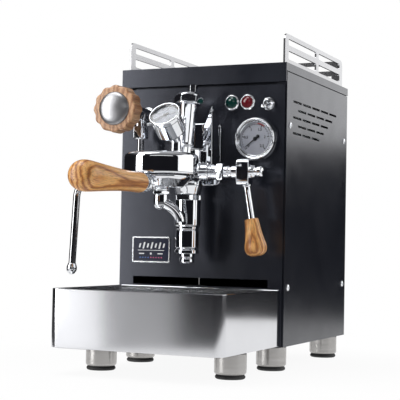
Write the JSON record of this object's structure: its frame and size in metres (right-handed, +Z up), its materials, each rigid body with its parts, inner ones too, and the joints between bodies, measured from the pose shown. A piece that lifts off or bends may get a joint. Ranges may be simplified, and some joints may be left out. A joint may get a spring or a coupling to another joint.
{
  "type": "espresso machine",
  "caption": "Lever-operated espresso machine: dark upright case, chromed brew group, wooden handles, steam wand, gauges, cup rails and a pull-out drip tray.",
  "frame": {"origin": "on the floor under the middle of the front panel's face", "axes": "+X to the right of a person facing the front, +Y to the back, +Z up"},
  "size_m": [0.2456, 0.5842, 0.4395],
  "materials": {
    "black_paint": "satin powder coat",
    "chrome": "polished",
    "steel_polished": "polished",
    "steel_brushed": "brushed",
    "wood": "oiled",
    "rubber": "matt",
    "glass": "clear",
    "lens_green": "faceted",
    "lens_red": "faceted",
    "dial": "matt",
    "needle": "matt",
    "plate": "anodised",
    "dark_plastic": "moulded",
    "clear_plastic": "translucent",
    "brass": "machined",
    "copper": "copper"
  },
  "bodies": {
    "machine": {"chassis_base": "black_paint", "front_panel": "black_paint", "side_panel_left": "black_paint", "side_panel_right": "black_paint", "rear_panel": "black_paint", "lid": "black_paint", "cup_rail_left": "steel_polished", "cup_rail_right": "steel_polished", "cup_rail_rear": "steel_polished", "feet": "steel_brushed", "foot_pads": "rubber", "side_screws": "chrome", "nameplate": "plate", "lamp_bezels": "chrome", "lamp_lens_green": "lens_green", "lamp_lens_red": "lens_red", "switch_body": "chrome", "boiler_gauge_case": "chrome", "group_gauge_case": "chrome", "gauge_dials": "dial", "gauge_glasses": "glass", "gauge_adapter": "chrome", "group_body": "chrome", "group_cap_nut": "chrome", "group_gasket": "rubber", "shower_screen": "steel_brushed", "infusion_chamber": "chrome", "drain_fitting": "chrome", "cam_gland": "chrome", "steam_valve_body": "chrome", "boiler": "copper", "heating_element": "brass", "safety_valve": "brass", "pressure_switch": "dark_plastic", "copper_pipes": "copper", "pump": "dark_plastic", "control_box": "dark_plastic", "power_inlet": "dark_plastic"},
    "switch": {"switch_lever": "chrome"},
    "boiler_pointer": {"boiler_needle": "needle"},
    "group_pointer": {"group_needle": "needle"},
    "brew_lever": {"lever_shaft": "chrome", "lever_hub": "chrome", "lever_end_nut": "chrome", "lever_rod": "chrome", "lever_grip": "wood"},
    "filter_holder": {"portafilter_body": "chrome", "filter_basket": "steel_brushed", "portafilter_ferrule": "chrome", "portafilter_handle": "wood", "portafilter_spout": "chrome"},
    "steam_handwheel": {"steam_stem": "steel_brushed", "steam_knob": "wood", "steam_knob_cap": "steel_polished"},
    "wand": {"steam_wand": "chrome", "steam_tip": "chrome"},
    "tray": {"drip_tray": "steel_polished"},
    "grid": {"drip_grid": "steel_brushed"},
    "tank": {"water_tank": "clear_plastic"},
    "warming_tray": {"cup_tray": "steel_brushed"}
  },
  "joints": [
    {"name": "brew_lever_turn", "type": "hinge", "parent": "machine", "child": "brew_lever", "pos_m": [0.07, -0.038, 0.255], "axis": [-1, 0, 0], "range_deg": [0, 80]},
    {"name": "filter_holder_turn", "type": "hinge", "parent": "machine", "child": "filter_holder", "pos_m": [0, -0.117, 0.247], "axis": [0, 0, 1], "range_deg": [-50, 0]},
    {"name": "steam_knob_turn", "type": "hinge", "parent": "machine", "child": "steam_handwheel", "pos_m": [-0.0798, -0.06, 0.3342], "axis": [0, -1, 0], "range_deg": [0, 450]},
    {"name": "wand_swing", "type": "hinge", "parent": "machine", "child": "wand", "pos_m": [-0.077, -0.027, 0.3], "axis": [0, 0, 1], "range_deg": [-70, 8]},
    {"name": "switch_flip", "type": "hinge", "parent": "machine", "child": "switch", "pos_m": [0.0956, -0.004, 0.346], "axis": [-1, 0, 0], "range_deg": [0, 34]},
    {"name": "boiler_pointer_turn", "type": "hinge", "parent": "machine", "child": "boiler_pointer", "pos_m": [0.079, -0.0046, 0.3004], "axis": [0, 1, 0], "range_deg": [0, 240]},
    {"name": "group_pointer_turn", "type": "hinge", "parent": "machine", "child": "group_pointer", "pos_m": [0, -0.11015, 0.32163], "axis": [0, 0.75, -0.6614], "range_deg": [0, 240]},
    {"name": "drip_tray_pull", "type": "slide", "parent": "machine", "child": "tray", "axis": [0, -1, 0], "range_m": [0, 0.17]},
    {"name": "grid_lift", "type": "slide", "parent": "tray", "child": "grid", "axis": [0, 0, 1], "range_m": [0, 0.018]},
    {"name": "tank_lift", "type": "slide", "parent": "machine", "child": "tank", "axis": [0, 0, 1], "range_m": [0, 0.2]},
    {"name": "cup_tray_lift", "type": "slide", "parent": "tank", "child": "warming_tray", "axis": [0, 0, 1], "range_m": [0, 0.08]}
  ]
}
